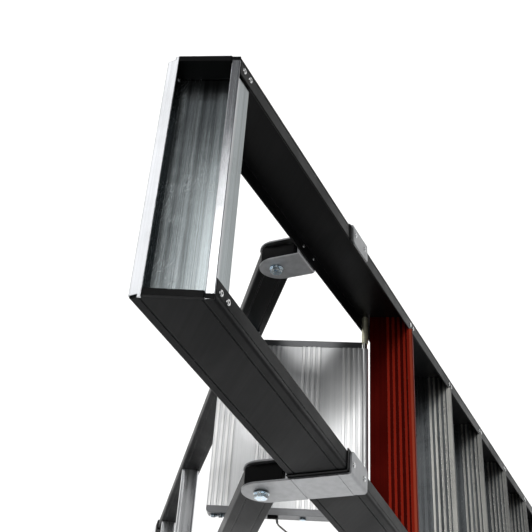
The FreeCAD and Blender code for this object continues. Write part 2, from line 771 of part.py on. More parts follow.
def make_bracket(name, side, kind, outline, seats, grip):
    label = f"bracket_{kind}_{name}"
    height, tab = size("bracket_height"), size("bracket_tab")
    start = span_start(side, BRACKET_TOP - height, BRACKET_TOP + 2 * height)
    bent = padded_body(label + "_bent", "XY", outline, 3 * height, stile_frame(side, start))
    level = stile_frame(side, BRACKET_MIDDLE)
    ear = padded_body(label + "_ear", "YZ", ear_outline(), 4 * height, level, centred=True)
    shaped = boolean("Common", label + "_shaped", bent, ear)
    if kind == "outer":
        corner = size("bracket_corner")
        front = rounded_outline([(-tab, -height / 2), (tab, -height / 2, corner),
                                 (tab, height / 2, corner), (-tab, height / 2)])
        view = padded_body(label + "_front", "XZ", front, 4 * REACH, level, centred=True)
        shaped = boolean("Common", label + "_cornered", shaped, view)
    drills = rivet_drills(label + "_hole", seats, grip)
    reach = 2 * height
    drills.append(cylinder(label + "_bolt_hole", "Sizes.bolt_radius + Sizes.free_gap", 2 * reach,
                           Vector(PIVOT_X * side - reach, PIVOT_Y, PIVOT_Z), Vector(1, 0, 0)))
    node(drilled(label, shaped, drills))


def make_liner(name, side):
    """A thin black angle between the outer plate and the stile, which shows above the plate."""
    label = f"bracket_liner_{name}"
    gap, thick, tab = size("fit_gap"), size("liner_thickness"), size("bracket_tab")
    inner, outer = -gap, -gap - thick
    end = size("stile_depth")
    outline = rounded_outline([(tab, outer), (outer, outer, thick * 2), (outer, end),
                               (inner, end), (inner, inner, thick), (tab, inner)])
    height = size("bracket_height") + size("liner_rise")
    start = span_start(side, BRACKET_TOP - size("liner_rise"),
                       BRACKET_TOP + size("bracket_height"))
    angle = padded_body(label + "_angle", "XY", outline, height, stile_frame(side, start))
    node(drilled(label, angle, rivet_drills(label + "_hole", side_seats[name]["tab"], tab_grip)))


PIVOT_X = stile_point(1, size("pivot_drop"), PIVOT_DEPTH).x
INNER_EAR = size("leg_width") + 2 * size("leg_side_gap")     # ear's near face, inwards


def make_brackets(name, side):
    gap, thick = size("fit_gap"), size("bracket_thickness")
    bend, tab = size("bracket_bend"), size("bracket_tab")
    inside = -LINER
    outside = inside - thick
    end = size("stile_depth") + size("ear_behind") + thick
    # two shallow bands are pressed into the plate, along the stile
    half, deep = size("press_width") / 2, size("press_depth")
    bands = []
    for middle in (size("press_inset"), size("stile_depth") - size("press_rear_inset")):
        bands += [(outside, middle - half), (outside + deep, middle - half),
                  (outside + deep, middle + half), (outside, middle + half)]
    make_bracket(name, side, "outer", rounded_outline([
        (tab, outside), (outside, outside, bend)] + bands + [
        (outside, end), (inside, end), (inside, inside, bend - thick), (tab, inside)]),
        side_seats[name]["tab"], tab_grip)
    base = size("stile_depth") + gap
    first = size("stile_wall")
    make_bracket(name, side, "inner", rounded_outline([
        (first, base), (INNER_EAR + thick, base, bend), (INNER_EAR + thick, end),
        (INNER_EAR, end), (INNER_EAR, base + thick, bend - thick), (first, base + thick)]),
        side_seats[name]["base"], base_grip)


def hexagon(x, y, across_flats):
    radius = across_flats / 2 / math.cos(math.pi / 6)
    turns = [math.radians(60 * i) for i in range(6)]
    return rounded_outline([(x + radius * math.cos(t), y + radius * math.sin(t)) for t in turns])


def x_axis_frame(x, y, z, side):
    """Local Z along +X on the right and along -X on the left, at a point."""
    outward = Vector(side, 0, 0)
    return axes_placement(Vector(side * x, y, z), Vector(0, 0, 1).cross(outward) * -1,
                          outward.cross(Vector(0, 0, 1).cross(outward) * -1), outward)


def make_pivot_hardware():
    thick, tilt = size("bracket_thickness"), SPREAD * size("washer_radius")
    washer, gap = size("washer_thickness"), size("fit_gap")
    outer_seat = PIVOT_X + LINER + thick + tilt
    inner_seat = PIVOT_X - INNER_EAR - thick - tilt
    nut_height = size("bolt_head_height")
    washers, nuts = [], []
    for name, side in SIDES.items():
        label = f"pivot_bolt_{name}"
        head = padded_body(label + "_head", "XY", hexagon(0, 0, size("bolt_head_across")),
                           "Sizes.bolt_head_height",
                           x_axis_frame(outer_seat + washer + gap, PIVOT_Y, PIVOT_Z, side))
        shank_end = inner_seat - washer - nut_height - 4 * gap - size("bolt_radius") / 2
        shank = cylinder(label + "_shank", "Sizes.bolt_radius",
                         outer_seat + washer + 2 * gap - shank_end,
                         Vector(side * shank_end, PIVOT_Y, PIVOT_Z), Vector(side, 0, 0))
        node(boolean("Fuse", label, head, shank))
        for x in (outer_seat + gap / 2, inner_seat - washer - gap):
            ring = Part.makeCylinder(size("washer_radius"), washer)
            ring = ring.cut(Part.makeCylinder(size("bolt_radius") + gap, washer))
            ring.Placement = x_axis_frame(x, PIVOT_Y, PIVOT_Z, side)
            washers.append(ring)
        flats = Part.Face(Part.Wire([e.toShape() for e in hexagon(0, 0, size("bolt_head_across"))]))
        nut = flats.extrude(Vector(0, 0, nut_height))
        nut = nut.cut(Part.makeCylinder(size("bolt_radius") + gap / 2, nut_height))
        nut.Placement = x_axis_frame(inner_seat - washer - 2 * gap - nut_height,
                                     PIVOT_Y, PIVOT_Z, side)
        nuts.append(nut)
    node(group_node("pivot_washers", washers))
    node(group_node("pivot_nuts", nuts))


# ---------------------------------------------------------------------------------------
# Rear frame
# ---------------------------------------------------------------------------------------

def leg_outline():
    width, half = size("leg_width"), size("leg_depth") / 2
    cut, deep = size("groove_width"), size("groove_depth") * 0.75
    inset = half - size("groove_inset")
    radius, soft = size("corner_radius"), deep / 2
    corners = [(0, -half, radius), (width, -half, radius)]
    for y in (-inset, inset):
        corners += [(width, y - cut / 2, soft), (width - deep, y - cut / 2),
                    (width - deep, y + cut / 2), (width, y + cut / 2, soft)]
    corners += [(width, half, radius), (0, half, radius)]
    for y in (inset, -inset):
        corners += [(0, y + cut / 2, soft), (deep, y + cut / 2), (deep, y - cut / 2),
                    (0, y - cut / 2, soft)]
    return rounded_outline(corners)


def leg_bore(inset, radius):
    width, half = size("leg_width"), size("leg_depth") / 2
    return rounded_outline([(inset, -half + inset, radius), (width - inset, -half + inset, radius),
                            (width - inset, half - inset, radius), (inset, half - inset, radius)])


LEG_TOP = BRACKET_TOP + size("leg_top_drop")     # along the stile, where the open leg ends
LEG_FRONT = size("stile_depth") + size("leg_top_clearance")
LEG_REACH = REACH / 2


def leg_top_room(label, inset):
    """Behind and below two cuts of the open leg's top: one along the stile, one square to it."""
    along = Vector(1, 0, 0).cross(STILE_REAR)
    corner = stile_point(1, LEG_TOP + inset, LEG_FRONT + inset)
    origin = Vector(-REACH / 2, corner.y, corner.z) - along * REACH
    place = axes_placement(origin, Vector(1, 0, 0), STILE_REAR, along)
    return box(label, (REACH, REACH, REACH), place)


plug_room = leg_top_room("plug_room", 0)
tube_room = leg_top_room("tube_room", size("plug_flange") + size("fit_gap"))
core_room = leg_top_room("core_room", size("plug_flange") / 2)
below_flange = leg_top_room("below_flange", size("plug_flange"))
below_plug = leg_top_room("below_plug", size("plug_flange") + size("plug_depth"))

PIN_Y = DECK_REAR - size("pin_inset")
PIN_Z = PLATFORM_Z - size("pin_sink")
PIN_TIP = size("platform_half_width") + size("pin_reach")
REST_TOP = PIN_Z - size("pin_radius") - size("seat_gap")


BRACE_DROPS = {"upper": size("upper_brace_drop"),
               "lower": PIVOT_Z / REAR_COS - size("lower_brace_rise")}


def leg_outward(side):
    return leg_frame(side, 0).Rotation.multVec(Vector(-1, 0, 0))


def brace_screw_seats(side):
    """Screw heads sit on the outside of the leg, in line with the brace."""
    seats = []
    for drop in BRACE_DROPS.values():
        for depth in (-size("brace_depth") / 4, size("brace_depth") / 4):
            seats.append((leg_point(side, drop, depth), leg_outward(side)))
    return seats


def rest_rivet_seats(side):
    """Two rivets, one above the other, on the inside of the rest's plate."""
    top = (PIVOT_Z - REST_TOP) / REAR_COS + size("rest_thickness") + 2 * size("rivet_head_radius")
    inset = size("leg_width") + size("fit_gap") + size("rest_thickness")
    depth = (PIN_Y - leg_point(side, top, 0).y) / REAR_COS
    return [(leg_point(side, drop, depth, inset), leg_outward(side) * -1)
            for drop in (top, top + size("rest_rivet_pitch"))]


rest_grip = size("rest_thickness") + size("leg_wall") + size("fit_gap")


def make_rear_leg(name, side):
    label = f"rear_leg_{name}"
    start = span_start(side, -2 * size("leg_depth"), LEG_REACH)
    length = LEG_REACH + 2 * size("leg_depth")
    bar = padded_body(label + "_bar", "XY", leg_outline() + leg_bore(size("leg_wall"), 1.0), length,
                      leg_frame(side, start))
    standing = boolean("Common", label + "_standing", bar, member_slab)
    topped = boolean("Common", label + "_topped", standing, tube_room)
    through = 3 * size("leg_width")
    drills = [cylinder(label + "_sleeve_hole", "Sizes.sleeve_radius + Sizes.fit_gap", 2 * through,
                       Vector(side * PIVOT_X - through, PIVOT_Y, PIVOT_Z), Vector(1, 0, 0))]
    for i, (seat, outward) in enumerate(brace_screw_seats(side)):
        drills.append(cylinder(f"{label}_screw_hole_{i + 1}", "Sizes.screw_radius + Sizes.fit_gap",
                               through, seat + outward * size("leg_wall"), outward * -1))
    drills += rivet_drills(label + "_rest_hole", rest_rivet_seats(side), rest_grip)
    node(drilled(label, topped, drills))
    make_leg_plug(name, side, start, length)
    make_sleeve(name, side)
    make_leg_rest(name, side)


def make_leg_plug(name, side, start, length):
    """Closes the leg's top: a flange over the tube's two cuts and a core inside the tube."""
    label = f"leg_plug_{name}"
    whole = padded_body(label + "_whole", "XY", leg_outline(), length, leg_frame(side, start))
    flange = boolean("Cut", label + "_flange", boolean("Common", label + "_top", whole, plug_room),
                     below_flange)
    inset = size("leg_wall") + size("fit_gap")
    inner = padded_body(label + "_inner", "XY", leg_bore(inset, 0.8), length,
                        leg_frame(side, start))
    core = boolean("Cut", label + "_core", boolean("Common", label + "_inner_top", inner, core_room),
                   below_plug)
    node(boolean("Fuse", label, flange, core))


def make_sleeve(name, side):
    """The bush that the leg turns with on the pivot bolt."""
    label = f"pivot_sleeve_{name}"
    inner = PIVOT_X - size("leg_side_gap") - size("leg_width")
    margin = size("leg_side_gap") - size("free_gap") - SPREAD * size("sleeve_radius")
    length = size("leg_width") + 2 * margin
    tube = cylinder(label + "_tube", "Sizes.sleeve_radius", length,
                    Vector(side * (inner - margin), PIVOT_Y, PIVOT_Z), Vector(side, 0, 0))
    node(drilled(label, tube, [
        cylinder(label + "_bore", "Sizes.bolt_radius + Sizes.running_gap", 2 * length,
                 Vector(side * (inner - length / 2), PIVOT_Y, PIVOT_Z), Vector(side, 0, 0))]))


def make_leg_rest(name, side):
    """An angle on the inside of the leg: the platform's pin lies on its level tab."""
    label = f"leg_rest_{name}"
    thick, half = size("rest_thickness"), size("rest_width") / 2
    drop = (PIVOT_Z - REST_TOP) / REAR_COS
    middle = (PIN_Y - leg_point(side, drop, 0).y) * REAR_COS
    near = size("leg_width") + size("fit_gap")
    height = size("rest_plate_height")
    outline = rounded_outline([(near, middle - half), (near + thick, middle - half),
                               (near + thick, middle + half), (near, middle + half)])
    start = span_start(side, drop - height / 4, drop + height)
    plate = padded_body(label + "_plate", "XY", outline, 1.25 * height, leg_frame(side, start))
    level = box(label + "_level", (REACH, REACH, REST_TOP),
                FreeCAD.Placement(Vector(-REACH / 2, -REACH / 2, 0), FreeCAD.Rotation()))
    cut_plate = boolean("Common", label + "_cut", plate, level)
    inner = PIN_TIP - size("rest_overlap")
    outer = leg_point(1, drop, 0, near + thick / 2).x
    tab = box(label + "_tab", (outer - inner, "Sizes.rest_width", "Sizes.rest_thickness"),
              FreeCAD.Placement(Vector(inner if side > 0 else -outer, PIN_Y - half,
                                       REST_TOP - thick), FreeCAD.Rotation()))
    angle = boolean("Fuse", label + "_angle", cut_plate, tab)
    node(drilled(label, angle, rivet_drills(label + "_hole", rest_rivet_seats(side), rest_grip)))


def make_braces():
    leg_rooms = []
    for name, side in SIDES.items():
        start = span_start(side, 0, LEG_REACH)
        edge = size("leg_width") + size("fit_gap")
        outline = rounded_outline([(-edge, -2 * edge), (edge, -2 * edge), (edge, 2 * edge),
                                   (-edge, 2 * edge)])
        leg_rooms.append(padded_body(f"leg_room_{name}", "XY", outline, LEG_REACH,
                                     leg_frame(side, start)))
    room = gathered("leg_room", leg_rooms)
    half_depth, half_thick = size("brace_depth") / 2, size("brace_thickness") / 2
    wall = size("brace_wall")
    outline = []
    for inset in (0, wall):
        y, z, radius = half_depth - inset, half_thick - inset, half_thick * 0.6 - inset / 2
        outline += rounded_outline([(-y, -z, radius), (y, -z, radius), (y, z, radius),
                                    (-y, z, radius)])
    tilt = FreeCAD.Rotation(Vector(1, 0, 0), size("rear_lean"))
    for place, drop in BRACE_DROPS.items():
        label = f"cross_brace_{place}"
        middle = leg_point(1, drop, 0)
        width = 2 * middle.x
        tube = padded_body(label + "_tube", "YZ", outline, width,
                           FreeCAD.Placement(Vector(0, middle.y, middle.z), tilt), centred=True)
        node(boolean("Cut", label, tube, room))


def screw_shape(length):
    head = Part.makeCylinder(size("screw_head_radius"), size("screw_head_height"))
    head = head.makeFillet(size("screw_head_height") / 2, [head.Edges[0]])
    shank = Part.makeCylinder(size("screw_radius"), length, Vector(0, 0, -length))
    return head.fuse(shank).removeSplitter()


def make_screws():
    shapes = []
    for side in SIDES.values():
        for seat, outward in brace_screw_seats(side):
            screw = screw_shape(size("leg_width") + size("brace_wall") + 2 * size("screw_radius"))
            screw.Placement = FreeCAD.Placement(seat + outward * size("fit_gap"),
                                                FreeCAD.Rotation(Vector(0, 0, 1), outward))
            shapes.append(screw)
    node(group_node("brace_screws", shapes))

    shapes = []
    for side in SIDES.values():
        tilt = SPREAD * size("screw_head_radius")
        screw = screw_shape(6 * size("screw_radius"))
        screw.Placement = FreeCAD.Placement(Vector(side * (PORT_X + tilt), PORT_Y, PORT_Z),
                                            FreeCAD.Rotation(Vector(0, 0, 1), Vector(side, 0, 0)))
        shapes.append(screw)
    node(group_node("top_tread_screws", shapes))


# ---------------------------------------------------------------------------------------
# Shoes on the four ends
# ---------------------------------------------------------------------------------------

def make_shoe(label, side, frame, floor_drop, outer, hollow):
    """A shoe: a block round the member's end, hollow above the sole, cut level at the floor."""
    start = span_start(side, floor_drop - size("shoe_height"), floor_drop + size("leg_depth"))
    length = size("shoe_height") + size("leg_depth")
    block = padded_body(label + "_block", "XY", outer, length, frame(side, start))
    level = boolean("Common", label + "_level", block, shoe_slab)
    filling = padded_body(label + "_filling", "XY", hollow, 2 * length,
                          frame(side, start - side * length / 2))
    hollowed = boolean("Common", label + "_hollow", filling, sole_slab)
    node(boolean("Cut", label, level, hollowed))


sole_slab = standing_slab("sole_slab", size("sole_thickness") - size("fit_gap"))


def make_shoes(name, side):
    wall, gap = size("shoe_wall"), size("fit_gap")
    depth, flange = size("stile_depth"), size("stile_flange")
    radius = size("corner_radius")
    outer = rounded_outline([(-wall, -wall, radius), (flange + wall, -wall, radius),
                             (flange + wall, depth + wall, radius), (-wall, depth + wall, radius)])
    hollow = rounded_outline([(-gap, -gap), (flange + gap, -gap), (flange + gap, depth + gap),
                              (-gap, depth + gap)])
    make_shoe(f"front_foot_{name}", side, stile_frame, TOP_Z / FRONT_COS, outer, hollow)
    width, half = size("leg_width"), size("leg_depth") / 2
    outer = rounded_outline([(-wall, -half - wall, radius), (width + wall, -half - wall, radius),
                             (width + wall, half + wall, radius), (-wall, half + wall, radius)])
    hollow = rounded_outline([(-gap, -half - gap), (width + gap, -half - gap),
                              (width + gap, half + gap), (-gap, half + gap)])
    make_shoe(f"rear_foot_{name}", side, leg_frame, PIVOT_Z / REAR_COS, outer, hollow)


# ---------------------------------------------------------------------------------------
# Platform
# ---------------------------------------------------------------------------------------

def plank_outline(width):
    """Side view of a plank, from its front edge at y = 0, with the deck's top at z = 0."""
    wall, rib, height = size("plank_wall"), size("plank_rib_height"), size("plank_height")
    pitch = size("rib_zone") / RIB_COUNT
    half = pitch * 0.27
    top = []
    for i in range(RIB_COUNT):
        middle = pitch * (i + 0.5)
        top += [(middle - half, -rib), (middle - half, 0, rib * 0.4),
                (middle + half, 0, rib * 0.4), (middle + half, -rib)]
    under = -rib - wall
    corners = [(0, -rib)] + top + [(width, -rib), (width, -height), (width - 2 * wall, -height),
                                   (width - 2 * wall, -height + wall), (width - wall, -height + wall),
                                   (width - wall, under), (wall, under), (wall, -height + wall),
                                   (2 * wall, -height + wall), (2 * wall, -height), (0, -height)]
    return rounded_outline(corners)


def make_planks():
    for index in range(PLANK_COUNT):
        width = PLANK_MODULE if index < PLANK_COUNT - 1 else size("rib_zone")
        width -= size("fit_gap")
        label = f"platform_plank_{index + 1}"
        place = FreeCAD.Placement(Vector(0, DECK_FRONT + index * PLANK_MODULE, PLATFORM_Z),
                                  FreeCAD.Rotation())
        plank = padded_body(label + "_deck", "YZ", plank_outline(width), PLANK_LENGTH, place,
                            centred=True)
        if index > 0:
            node(plank, label)
            continue
        # the front plank carries the hinge barrel
        barrel = cylinder(label + "_barrel", "Sizes.barrel_radius", PLANK_LENGTH,
                          Vector(-PLANK_LENGTH / 2, AXLE_Y, AXLE_Z), Vector(1, 0, 0))
        joined = boolean("Fuse", label + "_joined", plank, barrel)
        bore = cylinder(label + "_bore", "Sizes.axle_radius + Sizes.running_gap", REACH,
                        Vector(-REACH / 2, AXLE_Y, AXLE_Z), Vector(1, 0, 0))
        node(drilled(label, joined, [bore]))


def rail_screw_points():
    """Where each rail's screws stand, as (y, z): two near the rear, one further forward."""
    z = PLATFORM_Z - size("rail_screw_sink")
    rear = DECK_REAR - size("rail_screw_inset")
    return [(y, z) for y in (rear, rear - size("rail_screw_pitch"),
                             DECK_FRONT + size("rail_screw_forward"))]


def make_rail(name, side):
    label = f"platform_rail_{name}"
    length, height = DECK_REAR - DECK_FRONT, size("rail_height")
    radius, wall = size("rail_end_radius"), size("rail_wall")
    x = size("platform_half_width") - size("platform_rail")
    if side < 0:
        x = -size("platform_half_width")
    place = FreeCAD.Placement(Vector(x, DECK_FRONT, PLATFORM_Z), FreeCAD.Rotation())
    outline = rounded_outline([(0, 0, wall / 2), (0, -height, radius / 2), (length, -height, radius),
                               (length, 0, wall)])
    bar = padded_body(label + "_bar", "YZ", outline, "Sizes.platform_rail", place)
    # hollow from its lower side, so that it is a channel lying with its opening down
    inner = rounded_outline([(wall, -wall - size("plank_rib_height")), (wall, -height - wall),
                             (length - wall, -height - wall, radius / 2),
                             (length - wall, -wall - size("plank_rib_height"), wall)])
    hollow = padded_body(label + "_hollow", "YZ", inner, "Sizes.platform_rail - 2 * Sizes.rail_wall",
                         FreeCAD.Placement(place.Base + Vector(wall, 0, 0), FreeCAD.Rotation()))
    shaped = boolean("Cut", label + "_shaped", bar, hollow)
    width, corner = size("platform_rail"), size("rail_corner_radius")
    seen = [(0, 0), (width, 0), (width, length, corner), (0, length)]
    if side < 0:
        seen = [(0, 0), (width, 0), (width, length), (0, length, corner)]
    top_view = padded_body(label + "_top_view", "XY", rounded_outline(seen), 4 * height,
                           FreeCAD.Placement(place.Base, FreeCAD.Rotation()), centred=True)
    shaped = boolean("Common", label + "_cornered", shaped, top_view)
    drills = []
    for i, (y, z) in enumerate(rail_screw_points()):
        drills.append(cylinder(f"{label}_hole_{i + 1}", "Sizes.screw_radius + Sizes.fit_gap",
                               "Sizes.platform_rail * 2",
                               Vector(side * (size("platform_half_width") + 2), y, z),
                               Vector(-side, 0, 0)))
    drills.append(cylinder(f"{label}_pin_hole", "Sizes.pin_radius + Sizes.fit_gap",
                           "Sizes.platform_rail * 2",
                           Vector(side * (size("platform_half_width") + 2), PIN_Y, PIN_Z),
                           Vector(-side, 0, 0)))
    node(drilled(label, shaped, drills))


def make_rest_pin(name, side):
    """A pin through the rail, which lies on the leg's rest; its head is inside the deck."""
    label = f"rest_pin_{name}"
    seat = size("platform_half_width") - size("platform_rail") - size("fit_gap")
    outward = Vector(side, 0, 0)
    head = cylinder(label + "_head", "Sizes.pin_head_radius", "Sizes.pin_head_height",
                    Vector(side * (seat - size("pin_head_height")), PIN_Y, PIN_Z), outward)
    shank = cylinder(label + "_shank", "Sizes.pin_radius", PIN_TIP - seat,
                     Vector(side * seat, PIN_Y, PIN_Z), outward)
    node(boolean("Fuse", label, head, shank))


def make_rail_screws():
    shapes = []
    for side in SIDES.values():
        for y, z in rail_screw_points():
            screw = screw_shape(size("platform_rail"))
            seat = Vector(side * (size("platform_half_width") + size("fit_gap")), y, z)
            screw.Placement = FreeCAD.Placement(
                seat, FreeCAD.Rotation(Vector(0, 0, 1), Vector(side, 0, 0)))
            shapes.append(screw)
    node(group_node("rail_screws", shapes))


def make_axle():
    tilt = SPREAD * size("axle_head_radius")
    reach = AXLE_X + tilt
    rod = cylinder("platform_axle_rod", "Sizes.axle_radius", 2 * reach,
                   Vector(-reach, AXLE_Y, AXLE_Z), Vector(1, 0, 0))
    heads = [cylinder(f"platform_axle_head_{name}", "Sizes.axle_head_radius",
                      "Sizes.axle_head_height", Vector(side * reach, AXLE_Y, AXLE_Z),
                      Vector(side, 0, 0)) for name, side in SIDES.items()]
    one = boolean("Fuse", "platform_axle_one", rod, heads[0])
    node(boolean("Fuse", "platform_axle", one, heads[1]))
    inside = AXLE_X - size("stile_wall") / math.cos(math.radians(size("splay")))
    for name, side in SIDES.items():
        label = f"axle_spacer_{name}"
        start = size("platform_half_width") + size("free_gap")
        end = inside - SPREAD * size("barrel_radius") - size("fit_gap")
        tube = cylinder(label + "_tube", "Sizes.barrel_radius", end - start,
                        Vector(side * start, AXLE_Y, AXLE_Z), Vector(side, 0, 0))
        bore = cylinder(label + "_bore", "Sizes.axle_radius + Sizes.running_gap", REACH,
                        Vector(-REACH / 2, AXLE_Y, AXLE_Z), Vector(1, 0, 0))
        node(drilled(label, tube, [bore]))


# ---------------------------------------------------------------------------------------
# Cord
# ---------------------------------------------------------------------------------------

# the hanging route, as steps from the clip's tail, and how far it stands below the anchor
CORD_STEPS = [(0, 0, 0), (0, 0, -10), (-2, -7, -23), (-5, -18, -41), (-8, -33, -69),
              (-11, -53, -102), (-14, -78, -134), (-18, -107, -162), (-22, -138, -185),
              (-27, -167, -200), (-31, -192, -205), (-37, -213, -196), (-50, -224, -175)]
CORD_RISE = 22.0


def cord_path(points):
    """Straight runs joined by tangent arcs, as large as the two runs beside each allow."""
    edges, last = [], points[0]
    for before, corner, after in zip(points, points[1:], points[2:]):
        back, on = before - corner, after - corner
        turn = math.pi - back.getAngle(on)
        reach = 0.45 * min(back.Length, on.Length)
        radius = reach / math.tan(turn / 2)
        back.normalize()
        on.normalize()
        enter, leave = corner + back * reach, corner + on * reach
        middle = corner + (back + on).normalize() * (radius / math.cos(turn / 2) - radius)
        edges.append(Part.LineSegment(last, enter).toShape())
        edges.append(Part.Arc(enter, middle, leave).toShape())
        print(f"cord arc radius {radius:.1f} mm, turn {math.degrees(turn):.0f} degrees")
        last = leave
    edges.append(Part.LineSegment(last, points[-1]).toShape())
    return Part.Wire(edges)


def make_cord():
    """A limp cord from a clip on the left rail to an anchor inside the left stile."""
    radius, thick = size("cord_radius"), size("clip_thickness")
    clip_y = AXLE_Y + size("clip_position")
    clip_low = PLATFORM_Z - size("clip_sink") - size("clip_height")
    outer = -size("platform_half_width") - size("fit_gap") - thick
    body = box("cord_clip_body", ("Sizes.clip_thickness", "Sizes.clip_width", "Sizes.clip_height"),
               FreeCAD.Placement(Vector(outer, clip_y - size("clip_width") / 2, clip_low),
                                 FreeCAD.Rotation()))
    tail_top = Vector(outer + thick / 2, clip_y - size("clip_tail_forward"),
                      clip_low + size("clip_height") / 2)
    tail = cylinder("cord_clip_tail", "Sizes.clip_tail_radius",
                    "Sizes.clip_tail_length + Sizes.clip_height / 2", tail_top, Vector(0, 0, -1))
    node(boolean("Fuse", "cord_clip", body, tail))
    drop, half = AXLE_DROP + size("anchor_drop"), size("anchor_size") / 2
    middle = size("stile_wall") + size("fit_gap") + size("anchor_thickness") / 2
    depth = size("anchor_depth")
    frame = stile_frame(-1, drop + half)
    base = frame.multVec(Vector(middle, depth, 0))
    onward = frame.Rotation.multVec(Vector(0, 0, -1))
    corner = frame.multVec(Vector(middle - size("anchor_thickness") / 2, depth - half, 0))
    node(box("cord_anchor", ("Sizes.anchor_thickness", "Sizes.anchor_size", "Sizes.anchor_size"),
             FreeCAD.Placement(corner, frame.Rotation)))

    leave = Vector(tail_top.x, tail_top.y,
                   clip_low - size("clip_tail_length") - size("seat_gap"))
    points = [leave + Vector(*step) for step in CORD_STEPS]
    points += [base + onward * CORD_RISE, base]
    path = cord_path(points)
    profile = Part.Wire(Part.Circle(points[0], points[1] - points[0], radius).toShape())
    cord = doc.addObject("Part::Feature", "platform_cord")
    cord.Shape = path.makePipeShell([profile], True, True)
    expected = math.pi * radius ** 2 * path.Length
    print(f"cord length {path.Length:.1f} mm, volume {cord.Shape.Volume:.1f} mm3,"
          f" section times length {expected:.1f} mm3")
    node(cord)


# ---------------------------------------------------------------------------------------
# The ladder
# ---------------------------------------------------------------------------------------

for name, side in SIDES.items():
    make_stile(name, side)
make_tray()
for name, side in SIDES.items():
    make_tray_end(name, side)
for index in range(TREAD_COUNT):
    make_tread(index)
for name, side in SIDES.items():
    make_liner(name, side)
    make_brackets(name, side)
make_pivot_hardware()
for name, side in SIDES.items():
    make_rear_leg(name, side)
make_braces()
make_screws()
for name, side in SIDES.items():
    make_shoes(name, side)
make_planks()
for name, side in SIDES.items():
    make_rail(name, side)
    make_rest_pin(name, side)
make_rail_screws()
make_axle()
make_cord()

rivets = {"tread_rivets": [(tread_seats, skirt_grip)],
          "tray_rivets": [(tray_seats, tray_grip)],
          "bracket_rivets": [(tab_seats, tab_grip), (base_seats, base_grip)],
          "leg_rest_rivets": [(rest_rivet_seats(-1) + rest_rivet_seats(1), rest_grip)]}
masters = {(label, grip): rivet_body(f"{label}_master_{i + 1}", grip)
           for label, rows in rivets.items() for i, (seats, grip) in enumerate(rows)}
doc.recompute()
for label, rows in rivets.items():
    shapes = []
    for seats, grip in rows:
        shapes += placed_copies(masters[label, grip], seats)
    node(group_node(label, shapes))
doc.recompute()

faults = [item.Label for item in doc.Objects if {"Invalid", "Error"} & set(item.State)]
faults += [item.Label for item in NODES if item.Shape.isNull() or not item.Shape.isValid()
           or not item.Shape.Solids]
if faults:
    raise RuntimeError("not built: " + ", ".join(faults))

os.makedirs("parts", exist_ok=True)
for item in NODES:
    item.Shape.exportStep(f"parts/{item.Label}.step")
print(len(NODES), "sub-parts")
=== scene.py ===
import json
import math

import bmesh
import bpy
from mathutils import Matrix, Vector


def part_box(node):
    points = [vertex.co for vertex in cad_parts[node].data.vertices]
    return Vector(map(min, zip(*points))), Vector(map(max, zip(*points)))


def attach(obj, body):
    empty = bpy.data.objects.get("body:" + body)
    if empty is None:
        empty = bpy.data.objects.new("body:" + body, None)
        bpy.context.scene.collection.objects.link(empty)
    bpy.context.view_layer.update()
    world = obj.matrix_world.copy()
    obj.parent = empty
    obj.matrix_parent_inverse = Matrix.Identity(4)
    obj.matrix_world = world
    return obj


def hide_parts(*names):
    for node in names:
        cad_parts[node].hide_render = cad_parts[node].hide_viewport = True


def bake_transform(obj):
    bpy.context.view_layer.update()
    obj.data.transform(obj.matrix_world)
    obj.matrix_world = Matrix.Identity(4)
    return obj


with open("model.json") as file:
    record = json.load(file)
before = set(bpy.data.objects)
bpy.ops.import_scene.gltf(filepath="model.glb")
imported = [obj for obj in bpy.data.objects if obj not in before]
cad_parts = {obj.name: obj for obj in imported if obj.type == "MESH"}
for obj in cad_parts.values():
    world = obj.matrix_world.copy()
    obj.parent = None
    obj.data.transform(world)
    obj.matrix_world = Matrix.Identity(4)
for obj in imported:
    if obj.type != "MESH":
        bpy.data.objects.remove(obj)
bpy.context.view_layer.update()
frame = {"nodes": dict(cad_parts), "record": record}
scene = bpy.context.scene

LEAN = math.radians(20.66)       # stiles, from the vertical
REAR_LEAN = math.radians(14.2)   # rear legs, from the vertical
SPLAY = math.radians(3.833)      # each side, outwards going down

# ---------------------------------------------------------------------------------------
# Camera: it looks down on the ladder's top from the left of the climber
# ---------------------------------------------------------------------------------------

tray_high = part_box("tool_tray")[1]
CAMERA_FROM_TRAY = Vector((-0.634146, -0.205710, 0.752594))
RIGHT = Vector((0.0620044, -0.9968149, -0.0501552))
DOWN = Vector((-0.8295480, -0.0235270, -0.5579396))
FORWARD = Vector((0.5549825, 0.0762008, -0.8283646))

camera_data = bpy.data.cameras.new("camera")
camera = bpy.data.objects.new("camera", camera_data)
scene.collection.objects.link(camera)
camera_data.sensor_width = 36
camera_data.lens = 61.197
camera_data.clip_end = 50
turn = Matrix((RIGHT, -DOWN, -FORWARD)).transposed()
camera_place = Vector((0, tray_high.y, tray_high.z)) + CAMERA_FROM_TRAY
camera.matrix_world = Matrix.Translation(camera_place) @ turn.to_4x4()
scene.camera = camera

# ---------------------------------------------------------------------------------------
# Cord: it hangs from the clip on the platform's left rail into the left stile
# ---------------------------------------------------------------------------------------

CORD_RADIUS = 0.0015
CORD_ROUTE = [(-0.1626, 0.1641, 1.5907), (-0.1626, 0.1641, 1.5807), (-0.1646, 0.1571, 1.5677),
              (-0.1676, 0.1461, 1.5497), (-0.1706, 0.1311, 1.5217), (-0.1736, 0.1111, 1.4887),
              (-0.1766, 0.0861, 1.4567), (-0.1806, 0.0571, 1.4287), (-0.1846, 0.0261, 1.4057),
              (-0.1896, -0.0029, 1.3907), (-0.1936, -0.0279, 1.3857), (-0.1996, -0.0489, 1.3947),
              (-0.2126, -0.0599, 1.4157), (-0.2239, -0.0596, 1.4392), (-0.2224, -0.0518, 1.4597)]


